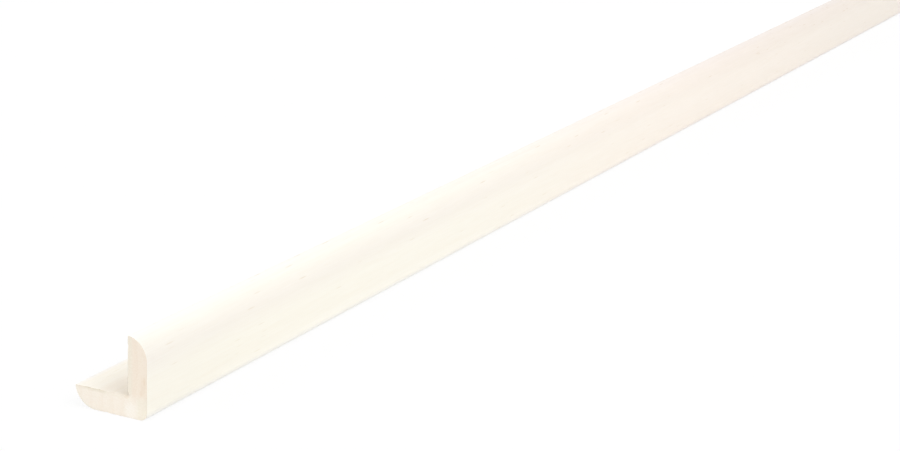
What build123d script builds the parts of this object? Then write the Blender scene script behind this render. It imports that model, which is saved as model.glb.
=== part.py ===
from build123d import *
from math import acos, degrees, sin
import os

# Corner moulding: an equal-leg angle, run from one length of timber.
# It lies as it would on a bench: one leg flat, the other upright.
# X runs across the legs, Y along the stock and Z up.
# The origin is on the bench, under the middle of the box around the stock.

# Driving dimensions, in millimetres
stock_length = 2400.0
leg_width = 20.0  # from the outer faces' corner to the tip of either leg
leg_thickness = 5.3
round_overcut = 0.5  # how much the rounded edge's radius passes the leg's thickness
outer_corner_radius = 2.0
inner_corner_radius = 0.4
tip_ease = 0.25

# The rounded edge takes in the whole thickness of the leg: it starts tangent to
# the outer face and ends on the inner face, a little short of a quarter turn.
round_radius = leg_thickness + round_overcut
round_turn = acos((round_radius - leg_thickness) / round_radius)
round_start = leg_width - round_radius * sin(round_turn)

# The section is drawn from the outer corner: across towards the flat leg's tip,
# and up towards the upright leg's tip.
outer_corner = (leg_width / 2, -stock_length / 2, 0)
section_plane = Plane(origin=outer_corner, x_dir=(-1, 0, 0), z_dir=(0, 1, 0))
leg_mirror = Plane(origin=(0, 0, 0), z_dir=(1, -1, 0))
inner_corner = (leg_thickness, leg_thickness, 0)

with BuildPart() as corner_moulding:
    with BuildSketch(section_plane) as section:
        with BuildLine():
            outer_face = Line((0, 0), (0, round_start))
            rounded_edge = JernArc(
                start=outer_face @ 1,
                tangent=outer_face % 1,
                radius=round_radius,
                arc_size=-degrees(round_turn),
            )
            Line(rounded_edge @ 1, inner_corner)
            mirror(about=leg_mirror)
        make_face()

        # The tips are the two corners furthest from the outer one.
        fillet(section.vertices().sort_by_distance((0, 0, 0))[-2:], radius=tip_ease)
        fillet(section.vertices().sort_by_distance((0, 0, 0))[0], radius=outer_corner_radius)
        fillet(section.vertices().sort_by_distance(inner_corner)[0], radius=inner_corner_radius)
    extrude(amount=stock_length)

corner_moulding.part.label = "corner_moulding"

os.makedirs("parts", exist_ok=True)
export_step(corner_moulding.part, "parts/corner_moulding.step")
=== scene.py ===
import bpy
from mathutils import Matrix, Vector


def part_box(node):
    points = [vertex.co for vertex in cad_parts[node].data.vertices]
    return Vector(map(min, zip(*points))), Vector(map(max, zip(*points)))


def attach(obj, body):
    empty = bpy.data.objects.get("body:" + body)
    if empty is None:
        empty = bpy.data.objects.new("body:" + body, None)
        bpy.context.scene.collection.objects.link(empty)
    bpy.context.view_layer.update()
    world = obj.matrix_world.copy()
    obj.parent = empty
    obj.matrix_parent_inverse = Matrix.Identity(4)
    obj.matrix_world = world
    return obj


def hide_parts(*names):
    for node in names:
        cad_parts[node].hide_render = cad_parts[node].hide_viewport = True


bl_info = {
    "name": "Corner moulding in pale timber",
    "version": (1, 0, 0),
    "blender": (4, 5, 0),
    "location": "3D View > Sidebar > Moulding",
    "description": "Dresses a length of corner moulding as planed pale timber with square sawn ends",
    "category": "Object",
}

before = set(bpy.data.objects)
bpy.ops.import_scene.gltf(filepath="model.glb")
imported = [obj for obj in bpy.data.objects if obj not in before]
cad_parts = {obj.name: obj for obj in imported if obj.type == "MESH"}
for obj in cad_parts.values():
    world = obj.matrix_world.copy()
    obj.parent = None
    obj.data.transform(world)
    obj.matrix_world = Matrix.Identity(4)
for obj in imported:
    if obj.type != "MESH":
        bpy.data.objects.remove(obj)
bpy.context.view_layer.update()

import math
import random

import bmesh
import bpy
from bpy.props import FloatProperty, FloatVectorProperty, IntProperty, PointerProperty
from bpy.types import Operator, Panel, PropertyGroup
from mathutils import Matrix, Vector

# The row frame, in metres: +Y runs along the stock from the photographed end, +Z up the
# upright leg, and +X from the flat leg's tip to the outer corner.
NODE = "corner_moulding"
STOCK_LOW, STOCK_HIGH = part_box(NODE)
MM = 0.001

# The near end's outer corner, which every place on the section is measured from
CORNER = Vector((STOCK_HIGH.x, STOCK_LOW.y, STOCK_LOW.z))
ALONG = Vector((0, 1, 0))


def linear(hex_colour):
    """The linear colour of an sRGB hex value such as F2E6D0."""
    parts = [int(hex_colour[i : i + 2], 16) / 255 for i in (0, 2, 4)]
    return [c / 12.92 if c <= 0.04045 else ((c + 0.055) / 1.055) ** 2.4 for c in parts]


def length_setting(name, description, default):
    return FloatProperty(
        name=name, description=description, default=default, min=0, precision=5, subtype="DISTANCE"
    )


def colour_setting(name, description, hex_colour):
    return FloatVectorProperty(
        name=name, description=description, default=linear(hex_colour), min=0, max=1, subtype="COLOR"
    )


def strength_setting(name, description, default):
    return FloatProperty(name=name, description=description, default=default, min=0)


class StockSizes(PropertyGroup):
    """The section of the moulding, as the joiner's drawing gives it."""

    leg_width: length_setting("Leg width", "From the outer corner to the tip of either leg", 20 * MM)
    leg_thickness: length_setting("Leg thickness", "Thickness of both legs", 5.3 * MM)
    round_overcut: length_setting(
        "Round overcut", "How much the rounded edge's radius passes the leg's thickness", 0.5 * MM
    )
    outer_corner_radius: length_setting("Outer corner radius", "Rounding between the outer faces", 2 * MM)
    inner_corner_radius: length_setting("Inner corner radius", "Cutter's radius between the legs", 0.4 * MM)
    tip_ease: length_setting("Tip ease", "Sanded radius where a round meets an inner face", 0.25 * MM)
    end_arris_ease: length_setting("End arris ease", "Rubbed-down edge around a sawn end", 0.14 * MM)
    grid_step: length_setting("Grid step", "Width of the faces across the section", 0.5 * MM)
    round_steps: IntProperty(
        name="Round steps", description="Faces in each rounded edge", default=24, min=6, max=64
    )


class TimberColours(PropertyGroup):
    """Colours of the timber, planed and sawn."""

    planed: colour_setting("Planed", "Planed sapwood at the photographed end", "FBF8EE")
    # Painted highlight on the rounded edges' tops and on the outer corner
    painted_edge_highlight: colour_setting("Planed, edge", "Sanded edges, where they look whitest", "FBFAF6")
    # Painted shade: pinker where the light falls off along the stock, and on the inner faces
    pinker: colour_setting("Pinker shade", "Multiplies the planed wood further along", "FFFAFB")
    # Painted shade: duller furthest along the stock, where the light falls off, and on the outer faces by
    # the near end
    duller: colour_setting("Duller shade", "Multiplies the planed wood furthest along", "F5F6F7")
    # Painted shade where the round begins
    painted_join_shade: colour_setting("Shade where the round begins", "Multiplies the faces there", "FBF9FB")
    # Painted shade on the rounded edges, where the light on them falls off along the stock
    rounded: colour_setting("Rounded edge shade", "Multiplies the rounded edges further along", "F8F6F6")
    # Painted shade on the inner faces, darker towards their corner where each leg shades the other
    inner: colour_setting("Inner face shade", "Multiplies the inner faces towards their corner", "FCF9F7")
    latewood: colour_setting("Grain shade", "What the planed faces' grain is multiplied by", "FAF7F2")
    pore: colour_setting("Pore shade", "What pores and pin flecks are multiplied by", "E9DFCE")
    # Painted shade in the corner between the legs; it also darkens the fine line along the flat leg's sawn
    # upper arris
    crease_shade_and_line: colour_setting("Dust shade", "What corners with dust in them are multiplied by", "F0EBE2")
    sawn: colour_setting("Sawn end", "Fibres cut across, where they are palest", "FAF5EC")
    sawn_flat: colour_setting("Sawn, not palest", "Multiplies all but the sawn end's palest spot", "FDFAF7")
    sawn_upright: colour_setting("Sawn, upright leg", "Multiplies the sawn upright leg", "FBF7F3")
    sawn_corner: colour_setting("Sawn, corner", "Multiplies the sawn corner under the upright", "FBFCF9")
    # Multiplies the sawn end's grey rims, and the fine dark line along the flat leg's upper arris
    sawn_rim: colour_setting("Sawn, rim", "Multiplies the sawn end's burnished rims", "FBFFFF")
    # Also the painted shade on the sawn end by the inner corner
    stain_and_shade: colour_setting("Stain", "What stains and speckle are multiplied by", "F3EBE1")


class StudioSettings(PropertyGroup):
    """Floor, light and camera."""

    floor: colour_setting("Floor", "Plain pale floor", "FBFBFB")
    sky: strength_setting("Sky", "Strength of the even light all round", 0.49)
    key: strength_setting("Key", "Strength of the soft light from the right", 1.52)
    fill: strength_setting("Fill", "Strength of the soft light from the left", 1.02)
    lens: FloatProperty(
        name="Lens", description="Focal length", default=89.3 * MM, subtype="DISTANCE_CAMERA"
    )


def node(tree, kind, inputs=(), output=0, **settings):
    """Adds a shader node with its settings, gives its inputs values or links, and returns an output.

    inputs is a list in the order of the node's sockets, or a dict by their names or numbers.
    """
    made = tree.nodes.new("ShaderNode" + kind)
    for name, value in settings.items():
        setattr(made, name, value)
    for key, value in inputs.items() if isinstance(inputs, dict) else enumerate(inputs):
        socket = made.inputs[key]
        if isinstance(value, bpy.types.NodeSocket):
            tree.links.new(value, socket)
        else:
            socket.default_value = value
    return made.outputs[output] if made.outputs else made


# Vertices nearer to each other than this are one, and edges that turn less are shaded smooth
MERGE = 0.002 * MM
SHARP_TURN = math.radians(24)

# How many faces round each corner of the section, and round the eased edge of a sawn end
OUTER_STEPS = 10
INNER_STEPS = 5
TIP_STEPS = 4
EASE_STEPS = 2


def nearest_vertex(bm, place):
    """The vertex of bm nearest to place."""
    return min(bm.verts, key=lambda vert: (vert.co - place).length_squared)


def draw_section(bm, sizes):
    """Draws the L-shaped section on the near end: half of it, mirrored about the corner's bisector."""
    radius = sizes.leg_thickness + sizes.round_overcut
    turn = math.acos(sizes.round_overcut / radius)
    round_start = sizes.leg_width - radius * math.sin(turn)

    outer = bm.verts.new(CORNER)
    start = bm.verts.new(CORNER + Vector((0, 0, round_start)))
    bm.edges.new((outer, start))
    swept = bmesh.ops.spin(
        bm,
        geom=[start],
        cent=CORNER + Vector((-radius, 0, round_start)),
        axis=(0, -1, 0),
        angle=turn,
        steps=sizes.round_steps,
        use_merge=False,
    )
    tip = next(item for item in swept["geom_last"] if isinstance(item, bmesh.types.BMVert))
    inner = bm.verts.new(CORNER + Vector((-sizes.leg_thickness, 0, sizes.leg_thickness)))
    bm.edges.new((tip, inner))

    bisector = Matrix.Translation(CORNER) @ Matrix.Rotation(math.radians(-45), 4, "Y")
    bmesh.ops.mirror(
        bm, geom=bm.verts[:] + bm.edges[:], matrix=bisector.inverted(), merge_dist=MERGE, axis="X"
    )
    bmesh.ops.remove_doubles(bm, verts=bm.verts[:], dist=MERGE)
    bmesh.ops.contextual_create(bm, geom=bm.edges[:])

    tip_reach = sizes.tip_ease / math.tan(turn / 2)
    for across, up, reach, steps in (
        (0, 0, sizes.outer_corner_radius, OUTER_STEPS),
        (sizes.leg_thickness, sizes.leg_thickness, sizes.inner_corner_radius, INNER_STEPS),
        (sizes.leg_thickness, sizes.leg_width, tip_reach, TIP_STEPS),
        (sizes.leg_width, sizes.leg_thickness, tip_reach, TIP_STEPS),
    ):
        bmesh.ops.bevel(
            bm,
            geom=[nearest_vertex(bm, CORNER + Vector((-across, 0, up)))],
            offset=reach,
            offset_type="OFFSET",
            segments=steps,
            profile=0.5,
            affect="VERTICES",
            material=-1,
            clamp_overlap=False,
        )


def cut_across(bm, axis, place):
    """Cuts every face of bm by the plane where the coordinate axis is place."""
    point, normal = Vector(), Vector()
    point[axis] = place
    normal[axis] = 1
    bmesh.ops.bisect_plane(
        bm, geom=bm.verts[:] + bm.edges[:] + bm.faces[:], dist=MERGE, plane_co=point, plane_no=normal
    )


def chip_arris(bm, across, up, reach, depth, rng):
    """Breaks a small splinter out of the near end's arris, with its middle at that place on the section."""
    middle = CORNER + Vector((-across, 0, up))
    for vert in bm.verts:
        apart = vert.co - middle
        nearness = 1 - apart.length / reach
        if nearness > 0:
            vert.co += ALONG * depth * nearness * rng.uniform(*CHIP_UNEVEN)


def mark_shading(mesh):
    """Shades the rounds smooth and keeps every arris crisp."""
    bm = bmesh.new()
    bm.from_mesh(mesh)
    for face in bm.faces:
        face.smooth = True
    for edge in bm.edges:
        edge.smooth = edge.calc_face_angle(0) < SHARP_TURN
    bm.to_mesh(mesh)
    bm.free()


# Cuts along the stock: close together at the ends, where the arrises are worked, then regular
END_CUTS = [step * MM for step in (0.4, 0.8, 1.3, 2, 3, 5, 9, 16, 30, 55)]
REGULAR_CUT = 100 * MM

# Splinters that the saw broke out of the near end: distance across from the outer corner,
# height, reach and depth, in millimetres
CHIPS = (
    (5.4, 5.5, 0.9, 0.55),
    (9.3, 5.2, 0.7, 0.25),
    (13.6, 5.3, 0.8, 0.3),
    (16.8, 5.3, 0.6, 0.2),
    (5.3, 12.4, 0.6, 0.2),
    (5.3, 17.3, 0.7, 0.25),
    (11.2, 0.0, 0.7, 0.25),
    (0.5, 0.6, 0.6, 0.2),
)

# The least and the most of a splinter's depth that each point of it gets, by chance
CHIP_UNEVEN = (0.75, 1.25)
CHIP_SEED = 11

# Material slots, and how far a face turns towards the end before it counts as sawn
PLANED, SAWN = 0, 1
SAWN_TURN = 0.5


class MOULDING_OT_stock(Operator):
    """Makes the length of moulding, run from one piece of timber and sawn square at both ends"""

    bl_idname = "moulding.stock"
    bl_label = "Corner moulding"

    def execute(self, context):
        sizes = context.scene.stock_sizes
        bm = bmesh.new()
        draw_section(bm, sizes)

        length = STOCK_HIGH.y - STOCK_LOW.y
        run = bmesh.ops.extrude_face_region(bm, geom=bm.faces[:], use_keep_orig=True)
        far = [item for item in run["geom"] if isinstance(item, bmesh.types.BMVert)]
        bmesh.ops.translate(bm, vec=ALONG * length, verts=far)
        bmesh.ops.recalc_face_normals(bm, faces=bm.faces[:])

        rims = [edge for edge in bm.edges if abs(edge.verts[0].co.y - edge.verts[1].co.y) < MERGE]
        bmesh.ops.bevel(
            bm,
            geom=rims,
            offset=sizes.end_arris_ease,
            offset_type="OFFSET",
            segments=EASE_STEPS,
            profile=0.5,
            affect="EDGES",
            material=-1,
            clamp_overlap=False,
        )
        steps = round(sizes.leg_width / sizes.grid_step)
        for step in range(1, steps):
            cut_across(bm, 0, CORNER.x - step * sizes.grid_step)
            cut_across(bm, 2, CORNER.z + step * sizes.grid_step)
        for step in END_CUTS:
            cut_across(bm, 1, STOCK_LOW.y + step)
            cut_across(bm, 1, STOCK_HIGH.y - step)
        for step in range(1, round(length / REGULAR_CUT)):
            cut_across(bm, 1, STOCK_LOW.y + step * REGULAR_CUT)

        for face in bm.faces:
            face.material_index = SAWN if abs(face.normal.y) > SAWN_TURN else PLANED
        rng = random.Random(CHIP_SEED)
        for across, up, reach, depth in CHIPS:
            chip_arris(bm, across * MM, up * MM, reach * MM, depth * MM, rng)
        if not all(edge.is_manifold for edge in bm.edges):
            raise RuntimeError("the moulding isn't a closed solid")

        mesh = bpy.data.meshes.new("corner_moulding_stock")
        bm.to_mesh(mesh)
        bm.free()
        mark_shading(mesh)
        stock = bpy.data.objects.new("corner_moulding_stock", mesh)
        context.scene.collection.objects.link(stock)
        mesh.materials.append(planed_timber(context.scene.timber_colours))
        mesh.materials.append(sawn_timber(context.scene.timber_colours))

        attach(stock, "root")
        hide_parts(NODE)
        return {"FINISHED"}


# Real sizes of what the timber shows, in millimetres. Its pores and fibres are about 0.1 mm
# wide, too fine for the picture, so they are drawn two to three times as wide.
RING_SPACING = 3.1
RING_WAVER = 1.3
WAVER_WIDTH = 9
FIBRE_WIDTH = 0.26
MOTTLE_WIDTH = 7
PORE_SPACING = 0.9
PIN_SPACING = 13
KNIFE_PITCH = 1.6
SAW_PITCH = 0.6
SPECKLE_WIDTH = 0.5
BURR_UNEVEN = 1.8

# How many times longer the grain, pores and pin flecks are drawn along the stock than across it
GRAIN_STRETCH = 45
PORE_STRETCH = 12
PIN_STRETCH = 3

# The tree's pith and the middle of the saw blade, in millimetres across and up in the row frame
PITH = (-118, 12)
SAW_CENTRE = (-70, -150)

# A range below says where a change begins and ends and then, unless they are 0 and 1, which
# values it goes from and to. Those are a Map Range node's inputs in their order, and SMOOTH
# eases the change at both ends. Places are in millimetres in the row frame.
SMOOTH = {"interpolation_type": "SMOOTHSTEP"}

# A Mix node's settings for colours, which it then takes at inputs 6 and 7 and gives at output 2
COLOUR_MIX = {"data_type": "RGBA", "output": 2}

# Latewood within one ring, as shares of its width: where it darkens and where it stops
RING_RISE = (0.3, 0.85)
RING_FALL = (0.88, 1.0, 1.0, 0.0)

# How much of each shade the rings, fibres, mottle and pores take, on the planed and sawn faces
PLANED_RINGS = 0.2
SAWN_RINGS = 0.12
PLANED_FIBRES = (0.35, 0.7, 0.0, 0.4)
PLANED_MOTTLE = (0.35, 0.7, 0.0, 0.2)
PLANED_PORES = 0.5
SAWN_SPECKLE = (0.4, 0.75, 0.0, 0.35)

# Pores: how far each reaches in its cell, in shares of the cells' spacing, and which cells have
# one. Pin flecks: how far each reaches, and how strongly it shows.
PORE_REACH = (0.1, 0.22, 1.0, 0.0)
PORE_CHOSEN = (0.6, 0.8)
PIN_REACH = (0.02, 0.045, 0.12, 0.0)

# Relief of each face: its depth, how strongly it shows, and how high the marks in it are against
# the fibres, or on the sawn face against the speckle
PLANED_RELIEF, PLANED_RELIEF_SHOWN = 0.03 * MM, 0.5
KNIFE_HEIGHT = 0.06
PORE_HEIGHT = -0.8
SAWN_RELIEF, SAWN_RELIEF_SHOWN = 0.06 * MM, 0.6
SAW_HEIGHT = 0.12

# Dry wood's index of refraction, and the roughness of its planed fibres and of its sawn end
WOOD_IOR = 1.47
PLANED_ROUGHNESS = (0.3, 0.7, 0.5, 0.58)
SAWN_ROUGHNESS = 0.85

# How far along the stock a painted shade turns the planed wood from cream to a pinker shade and then to a
# duller one, where the light falls off along it
PINKER = (-1090, -850)
DULLER = (-930, -560)

# How far out along a leg a painted shade dulls its rounded edge, and how far along the stock, where the
# light on it falls off
ROUND_BEGINS = (12.0, 18.0)
ROUND_DULLER = (-1100, -740)

# How far out along a leg a painted highlight whitens the rounded edge's top, and where along the stock that
# fades
EDGE_WHITE = (18.2, 19.8)
EDGE_FADE = (-1150, -1070, 1.0, 0.5)

# How near to the outer corner a painted highlight whitens it, against the shade where it turns under
# towards the floor
CORNER_WHITE = (2.0, 0.8)

# A slightly duller band of painted shade about where the round begins: how far out along a leg, how deep
# under the outer faces it is gone, and where along the stock it fades
JOIN_OUT = (9.5, 15.2)
JOIN_DEEP = (0.0, 2.4, 1.0, 0.0)
JOIN_FADE = (-1060, -870, 1.0, 0.0)

# The inner faces: how deep under the outer ones they begin, how much pinker a painted shade makes them, and
# how near to their corner a painted shade, where each leg shades the other, turns them duller
INNER_DEPTH = (4.7, 5.2)
INNER_PINKER = 0.25
INNER_SHADE = (15.6, 10.8)

# A painted shade makes the outer faces a little duller by the near end. A millimetre of depth counts as
# eight along the stock, so the inner faces aren't.
END_DULLER = (-1200, -1160, 0.35, 0.0)
END_SHALLOW = 8

# The corner between the legs, across and up, and how far the painted shade in it reaches
INNER_CORNER = (4.7, 5.3)
CREASE_SHADE_REACH = (0.3, 1.6, 0.2, 0.0)

# Places on the sawn end: the upright leg's foot and back, and the corner under it
UPRIGHT_FOOT = (4.0, 6.4)
UPRIGHT_BACK = (6.4, 5.3)
CORNER_EDGE = (6.6, 7.8)
CORNER_TOP = (6.2, 4.2)

# The middle of the flat leg's round, how far from it the rim is, and where across it begins
FLAT_ROUND = (-4.222, 5.8)
RIM_DEPTH = (5.0, 5.7, 0.0, 0.6)
RIM_ACROSS = (FLAT_ROUND[0] + 1, FLAT_ROUND[0] - 1)

# The burr along the flat leg's upper arris: how high up, where it begins and ends across, and
# how it comes and goes
BURR_HEIGHT = (4.3, 5.2)
BURR_BEGINS = (-9.3, -5.3, 0.2, 1.0)
BURR_ENDS = (-2.8, -0.8, 1.0, 0.0)
BURR_GAPS = (0.4, 0.62, 0.5, 1.0)

# The sawn end's palest spot: middle, reach across and up, and how it fades in shares of its reach
PALE_SPOT = ((5.7, 1.7), (2.4, 2.4))
PALE_FADE = (0.4, 1.2)

# Stains on the sawn end, and a painted shade by the inner corner: middle, reach across and up, and how
# strongly each shows. They fade in shares of their reach too.
STAINS_AND_SHADE = (
    ((8.9, 8.4), (1.0, 3.0), 0.28),
    ((8.3, 6.5), (0.45, 0.8), 0.35),
    ((9.3, 9.7), (0.4, 1.2), 0.35),
    # Painted shade by the inner corner, where the shade on the flat leg's top meets the end
    ((4.4, 5.0), (0.8, 0.5), 0.4),
)
STAIN_FADE = (0.45, 1.1)


class Figure:
    """What every face of the timber shares: places in millimetres and its growth rings.

    out is how far out a place is along either leg, from the outer corner, and deep is how far
    under the outer faces.
    """

    def __init__(self, tree):
        self.tree = tree
        place = node(tree, "TexCoord", output="Object")
        self.plain = node(tree, "Mapping", {"Vector": place, "Scale": (1 / MM, 1 / MM, 1 / MM)})
        self.drawn = node(tree, "Mapping", {"Vector": self.plain, "Scale": (1, 1 / GRAIN_STRETCH, 1)})
        self.x = node(tree, "SeparateXYZ", [self.plain])
        self.y, self.z = self.x.node.outputs["Y"], self.x.node.outputs["Z"]
        outwards = node(tree, "Math", [CORNER.x / MM, self.x], operation="SUBTRACT")
        self.out = node(tree, "Math", [outwards, self.z], operation="MAXIMUM")
        self.deep = node(tree, "Math", [outwards, self.z], operation="MINIMUM")
        self.rings = self.growth_rings()

    def from_line(self, place, reach=(1, 1)):
        """The distance from a line along the stock, with each direction divided by its reach.

        place and reach are given across and up.
        """
        apart = node(self.tree, "VectorMath", [self.plain, (place[0], 0, place[1])], operation="SUBTRACT")
        shares = (1 / reach[0], 0, 1 / reach[1])
        across = node(self.tree, "VectorMath", [apart, shares], operation="MULTIPLY")
        return node(self.tree, "VectorMath", [across], output="Value", operation="LENGTH")

    def growth_rings(self):
        """Latewood, from 0 to 1: narrow bands around a pith far to the flat leg's side."""
        tree = self.tree
        waver = node(tree, "TexNoise", {"Vector": self.drawn, "Scale": 1 / WAVER_WIDTH, "Detail": 2.0})
        radius = node(tree, "Math", [waver, 2 * RING_WAVER, self.from_line(PITH)], operation="MULTIPLY_ADD")
        ring = node(tree, "Math", [radius, 1 / RING_SPACING], operation="MULTIPLY")
        ring = node(tree, "Math", [ring], operation="FRACT")
        rise = node(tree, "MapRange", [ring, *RING_RISE], **SMOOTH)
        fall = node(tree, "MapRange", [ring, *RING_FALL], **SMOOTH)
        return node(tree, "Math", [rise, fall], operation="MULTIPLY")


def new_material(name):
    material = bpy.data.materials.new(name)
    material.use_nodes = True
    tree = material.node_tree
    tree.nodes.clear()
    return material, tree


def layered(tree, tone, layers):
    """The tone with each layer's shade multiplied into it, as far as the layer's factor says."""
    for factor, shade in layers:
        inputs = {"Factor": factor, 6: tone, 7: (*shade, 1)}
        tone = node(tree, "Mix", inputs, blend_type="MULTIPLY", **COLOUR_MIX)
    return tone


def planed_timber(colours):
    """Close-grained pale timber, planed and sanded: faint lines along the grain and a satin face."""
    material, tree = new_material("planed_pale_timber")
    figure = Figure(tree)

    # Fibres and a broader mottle, drawn out along the stock
    inputs = {"Vector": figure.drawn, "Scale": 1 / FIBRE_WIDTH, "Detail": 3.0, "Roughness": 0.6}
    fibres = node(tree, "TexNoise", inputs)
    mottle = node(tree, "TexNoise", {"Vector": figure.drawn, "Scale": 1 / MOTTLE_WIDTH, "Detail": 3.0})

    # Pores: short dashes along the grain, in about a third of the cells
    pore_place = node(tree, "Mapping", {"Vector": figure.plain, "Scale": (1, 1 / PORE_STRETCH, 1)})
    cell = node(tree, "TexVoronoi", {"Vector": pore_place, "Scale": 1 / PORE_SPACING}, output="Distance")
    open_pore = node(tree, "MapRange", [cell, *PORE_REACH])
    lot = node(tree, "SeparateColor", [cell.node.outputs["Color"]])
    chosen = node(tree, "MapRange", [lot, *PORE_CHOSEN])
    pore = node(tree, "Math", [open_pore, chosen], operation="MULTIPLY")

    # Pin flecks: a few small darker spots, about a finger's width apart
    pin_place = node(tree, "Mapping", {"Vector": figure.plain, "Scale": (1, 1 / PIN_STRETCH, 1)})
    pin = node(tree, "TexVoronoi", {"Vector": pin_place, "Scale": 1 / PIN_SPACING}, output="Distance")

    # Painted highlight: the rounded edges' tops are whitest by the near end, and the outer corner is whiter
    # all along
    edge = node(tree, "MapRange", [figure.out, *EDGE_WHITE], **SMOOTH)
    fade = node(tree, "MapRange", [figure.y, *EDGE_FADE])
    edge = node(tree, "Math", [edge, fade], operation="MULTIPLY")
    corner = node(tree, "MapRange", [figure.out, *CORNER_WHITE])
    edge = node(tree, "Math", [edge, corner], operation="MAXIMUM")
    inputs = {"Factor": edge, 6: (*colours.planed, 1), 7: (*colours.painted_edge_highlight, 1)}
    tone = node(tree, "Mix", inputs, **COLOUR_MIX)

    # Painted shade that follows the shape and the stock's length
    rounded = node(tree, "MapRange", [figure.out, *ROUND_BEGINS], **SMOOTH)
    further = node(tree, "MapRange", [figure.y, *ROUND_DULLER], **SMOOTH)
    inner = node(tree, "MapRange", [figure.deep, *INNER_DEPTH])
    towards_corner = node(tree, "MapRange", [figure.out, *INNER_SHADE], **SMOOTH)
    from_end = node(tree, "Math", [figure.deep, END_SHALLOW, figure.y], operation="MULTIPLY_ADD")
    join = node(tree, "MapRange", [figure.out, *JOIN_OUT])
    turned = node(tree, "MapRange", [figure.deep, *JOIN_DEEP])
    join = node(tree, "Math", [join, turned], operation="MULTIPLY")
    join_fade = node(tree, "MapRange", [figure.y, *JOIN_FADE])
    # Painted shade along the stock, on the rounded edges, on the inner faces, by the near end, where the
    # round begins and in the inner corner, with the grain, pores and pin flecks among it
    layers = (
        (node(tree, "MapRange", [figure.y, *PINKER], **SMOOTH), colours.pinker),
        (node(tree, "MapRange", [figure.y, *DULLER], **SMOOTH), colours.duller),
        (node(tree, "Math", [rounded, further], operation="MULTIPLY"), colours.rounded),
        (node(tree, "Math", [inner, INNER_PINKER], operation="MULTIPLY"), colours.pinker),
        (node(tree, "Math", [inner, towards_corner], operation="MULTIPLY"), colours.inner),
        (node(tree, "MapRange", [from_end, *END_DULLER]), colours.duller),
        (node(tree, "Math", [figure.rings, PLANED_RINGS], operation="MULTIPLY"), colours.latewood),
        (node(tree, "MapRange", [fibres, *PLANED_FIBRES]), colours.latewood),
        (node(tree, "MapRange", [mottle, *PLANED_MOTTLE]), colours.latewood),
        (node(tree, "Math", [pore, PLANED_PORES], operation="MULTIPLY"), colours.pore),
        (node(tree, "MapRange", [pin, *PIN_REACH]), colours.pore),
        (node(tree, "Math", [join, join_fade], operation="MULTIPLY"), colours.painted_join_shade),
        (node(tree, "MapRange", [figure.from_line(INNER_CORNER), *CREASE_SHADE_REACH]), colours.crease_shade_and_line),
    )

    # Waves that the planer's knives left, across the stock, and open pores
    wave = node(tree, "Math", [figure.y, 2 * math.pi / KNIFE_PITCH], operation="MULTIPLY")
    wave = node(tree, "Math", [wave], operation="SINE")
    height = node(tree, "Math", [wave, KNIFE_HEIGHT, fibres], operation="MULTIPLY_ADD")
    height = node(tree, "Math", [pore, PORE_HEIGHT, height], operation="MULTIPLY_ADD")
    relief = {"Height": height, "Distance": PLANED_RELIEF, "Strength": PLANED_RELIEF_SHOWN}
    shader = node(
        tree,
        "BsdfPrincipled",
        {
            "Base Color": layered(tree, tone, layers),
            "Roughness": node(tree, "MapRange", [fibres, *PLANED_ROUGHNESS]),
            "IOR": WOOD_IOR,
            "Normal": node(tree, "Bump", relief),
        },
    )
    node(tree, "OutputMaterial", {"Surface": shader})
    return material


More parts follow.
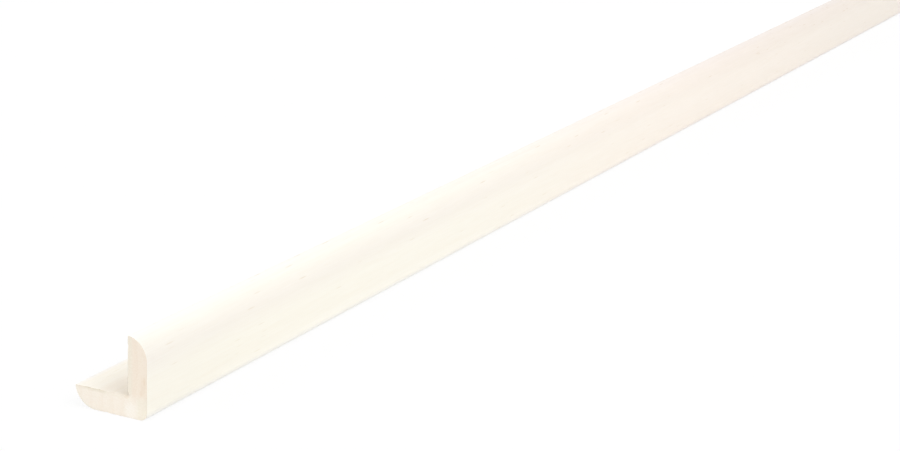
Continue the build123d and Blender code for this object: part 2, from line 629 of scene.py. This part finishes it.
def sawn_timber(colours):
    """The same timber sawn across its fibres: duller and warmer, with stains and saw marks."""
    material, tree = new_material("sawn_end_grain")
    figure = Figure(tree)

    # The upright leg is browner than the flat one, and the corner under it yellower
    upright = node(tree, "MapRange", [figure.z, *UPRIGHT_FOOT], **SMOOTH)
    right = node(tree, "MapRange", [figure.x, *CORNER_EDGE], **SMOOTH)
    low = node(tree, "MapRange", [figure.z, *CORNER_TOP], **SMOOTH)

    # Grey rims on the sawn end: along the upright's back and round the flat leg's round
    back = node(tree, "MapRange", [figure.x, *UPRIGHT_BACK], **SMOOTH)
    rim = node(tree, "MapRange", [figure.from_line(FLAT_ROUND), *RIM_DEPTH])
    rounded = node(tree, "MapRange", [figure.x, *RIM_ACROSS])

    # A fine burr follows the flat leg's upper arris, drawn as an uneven dark line
    burr = node(tree, "MapRange", [figure.z, *BURR_HEIGHT], **SMOOTH)
    begins = node(tree, "MapRange", [figure.x, *BURR_BEGINS])
    burr = node(tree, "Math", [burr, begins], operation="MULTIPLY")
    uneven = node(tree, "TexNoise", {"Vector": figure.plain, "Scale": 1 / BURR_UNEVEN})
    uneven = node(tree, "MapRange", [uneven, *BURR_GAPS])
    burr = node(tree, "Math", [burr, uneven], operation="MULTIPLY")
    ends = node(tree, "MapRange", [figure.x, *BURR_ENDS])
    burr = node(tree, "Math", [burr, ends], operation="MULTIPLY")

    # The cut ends of the fibres, and the palest spot
    inputs = {"Vector": figure.plain, "Scale": 1 / SPECKLE_WIDTH, "Detail": 3.0, "Roughness": 0.65}
    speckle = node(tree, "TexNoise", inputs)
    from_pale = figure.from_line(*PALE_SPOT)
    layers = [
        (node(tree, "MapRange", [from_pale, *PALE_FADE], **SMOOTH), colours.sawn_flat),
        (upright, colours.sawn_upright),
        (node(tree, "Math", [right, low], operation="MULTIPLY"), colours.sawn_corner),
        (node(tree, "Math", [back, upright], operation="MULTIPLY"), colours.sawn_rim),
        (node(tree, "Math", [rim, rounded], operation="MULTIPLY"), colours.sawn_rim),
        (node(tree, "Math", [figure.rings, SAWN_RINGS], operation="MULTIPLY"), colours.stain_and_shade),
        (node(tree, "MapRange", [speckle, *SAWN_SPECKLE]), colours.stain_and_shade),
        (burr, colours.crease_shade_and_line),
        (burr, colours.sawn_rim),
    ]
    # Stains, and the painted shade by the inner corner
    for middle, reach, strength in STAINS_AND_SHADE:
        apart = figure.from_line(middle, reach)
        stained = node(tree, "MapRange", [apart, *STAIN_FADE, strength, 0.0], **SMOOTH)
        layers.append((stained, colours.stain_and_shade))

    # Arcs that the saw's teeth left
    saw = node(tree, "Math", [figure.from_line(SAW_CENTRE), 2 * math.pi / SAW_PITCH], operation="MULTIPLY")
    saw = node(tree, "Math", [saw], operation="SINE")
    height = node(tree, "Math", [saw, SAW_HEIGHT, speckle], operation="MULTIPLY_ADD")
    relief = {"Height": height, "Distance": SAWN_RELIEF, "Strength": SAWN_RELIEF_SHOWN}
    shader = node(
        tree,
        "BsdfPrincipled",
        {
            "Base Color": layered(tree, (*colours.sawn, 1), layers),
            "Roughness": SAWN_ROUGHNESS,
            "IOR": WOOD_IOR,
            "Normal": node(tree, "Bump", relief),
        },
    )
    node(tree, "OutputMaterial", {"Surface": shader})
    return material


# Where the camera stands, from the near end's outer corner, and how it is turned, in degrees
CAMERA_PLACE = Vector((272.4, -395.3, 188.8)) * MM
CAMERA_DOWN = 16.33
CAMERA_LEFT = 26.51
CAMERA_ROLL = 2.23

# The nearest and furthest that the camera sees, in metres
CAMERA_SEES = (0.02, 240)

# The floor: how far it reaches each way, in metres, how far it lies under the object, and how
# much of its own white shows, against the light that falls on it
FLOOR_REACH = 60
FLOOR_GAP = 0.05 * MM
FLOOR_WHITE = 0.86

# Each soft light: the way it comes from, and how wide it looks from the object, in degrees
KEY_FROM, KEY_WIDTH = (0.577, 0, 0.817), 58
FILL_FROM, FILL_WIDTH = (-0.579, -0.579, 0.574), 50

# How far off the lights hang, in metres, which changes nothing in how they shine
LIGHT_DISTANCE = 3

WHITE = (1, 1, 1, 1)


def seen_directly(tree):
    """1 for rays from the camera or by way of gloss and glass, 0 for the light on the object."""
    camera = node(tree, "LightPath", output="Is Camera Ray")
    path = camera.node.outputs
    seen = node(tree, "Math", [camera, path["Is Glossy Ray"]], operation="MAXIMUM")
    return node(tree, "Math", [seen, path["Is Transmission Ray"]], operation="MAXIMUM")


def floor_material(settings):
    """A pale matt floor that shows as white and still takes the object's shadow."""
    material, tree = new_material("pale_matt_floor")
    matt = node(tree, "BsdfDiffuse", {"Color": (*settings.floor, 1)})
    white = node(tree, "Emission", {"Color": WHITE, "Strength": 1.0})
    share = node(tree, "Math", [seen_directly(tree), FLOOR_WHITE], operation="MULTIPLY")
    shown = node(tree, "MixShader", [share, matt, white])
    node(tree, "OutputMaterial", {"Surface": shown})
    return material


class MOULDING_OT_studio(Operator):
    """Sets the pale floor, the soft lights and the camera at the photograph's angle"""

    bl_idname = "moulding.studio"
    bl_label = "Studio"

    def execute(self, context):
        settings = context.scene.studio_settings
        self.lay_floor(context, settings)
        self.light_sky(context, settings)
        self.hang_light(context, "key_light", KEY_FROM, KEY_WIDTH, settings.key)
        self.hang_light(context, "fill_light", FILL_FROM, FILL_WIDTH, settings.fill)
        self.place_camera(context, settings)
        context.scene.view_settings.view_transform = "Standard"
        return {"FINISHED"}

    def lay_floor(self, context, settings):
        bm = bmesh.new()
        bmesh.ops.create_grid(bm, x_segments=1, y_segments=1, size=FLOOR_REACH)
        bmesh.ops.translate(bm, vec=(0, 0, -FLOOR_GAP), verts=bm.verts[:])
        mesh = bpy.data.meshes.new("floor")
        bm.to_mesh(mesh)
        bm.free()
        mesh.materials.append(floor_material(settings))
        floor = bpy.data.objects.new("floor", mesh)
        context.scene.collection.objects.link(floor)

    def light_sky(self, context, settings):
        world = bpy.data.worlds.new("soft_white_room")
        world.use_nodes = True
        tree = world.node_tree
        tree.nodes.clear()
        soft = node(tree, "Background", {"Color": WHITE, "Strength": settings.sky})
        white = node(tree, "Background", {"Color": WHITE, "Strength": 1.0})
        shown = node(tree, "MixShader", [seen_directly(tree), soft, white])
        node(tree, "OutputWorld", {"Surface": shown})
        context.scene.world = world

    def hang_light(self, context, name, comes_from, width, strength):
        light = bpy.data.lights.new(name, "SUN")
        light.energy = strength
        light.angle = math.radians(width)
        hung = bpy.data.objects.new(name, light)
        hung.rotation_mode = "QUATERNION"
        hung.rotation_quaternion = Vector(comes_from).to_track_quat("Z", "Y")
        hung.location = Vector(comes_from) * LIGHT_DISTANCE
        context.scene.collection.objects.link(hung)

    def place_camera(self, context, settings):
        data = bpy.data.cameras.new("camera")
        data.lens = settings.lens / MM
        data.clip_start, data.clip_end = CAMERA_SEES
        camera = bpy.data.objects.new("camera", data)
        camera.matrix_world = (
            Matrix.Translation(CORNER + CAMERA_PLACE)
            @ Matrix.Rotation(math.radians(CAMERA_LEFT), 4, "Z")
            @ Matrix.Rotation(math.radians(90 - CAMERA_DOWN), 4, "X")
            @ Matrix.Rotation(math.radians(CAMERA_ROLL), 4, "Z")
        )
        context.scene.collection.objects.link(camera)
        context.scene.camera = camera


class MOULDING_PT_panel(Panel):
    """Lists the sizes, colours and steps of the corner moulding"""

    bl_idname = "MOULDING_PT_panel"
    bl_label = "Corner moulding"
    bl_space_type = "VIEW_3D"
    bl_region_type = "UI"
    bl_category = "Moulding"

    def draw(self, context):
        for settings in (
            context.scene.stock_sizes,
            context.scene.timber_colours,
            context.scene.studio_settings,
        ):
            box = self.layout.box()
            for name in settings.bl_rna.properties.keys():
                if name not in ("rna_type", "name"):
                    box.prop(settings, name)
        for step in (MOULDING_OT_stock, MOULDING_OT_studio):
            self.layout.operator(step.bl_idname)


CLASSES = (
    StockSizes,
    TimberColours,
    StudioSettings,
    MOULDING_OT_stock,
    MOULDING_OT_studio,
    MOULDING_PT_panel,
)


def register():
    for item in CLASSES:
        bpy.utils.register_class(item)
    bpy.types.Scene.stock_sizes = PointerProperty(type=StockSizes)
    bpy.types.Scene.timber_colours = PointerProperty(type=TimberColours)
    bpy.types.Scene.studio_settings = PointerProperty(type=StudioSettings)


def unregister():
    del bpy.types.Scene.studio_settings
    del bpy.types.Scene.timber_colours
    del bpy.types.Scene.stock_sizes
    for item in reversed(CLASSES):
        bpy.utils.unregister_class(item)


def main():
    """Registers the add-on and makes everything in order."""
    register()
    bpy.ops.moulding.stock()
    bpy.ops.moulding.studio()


if __name__ == "__main__":
    main()
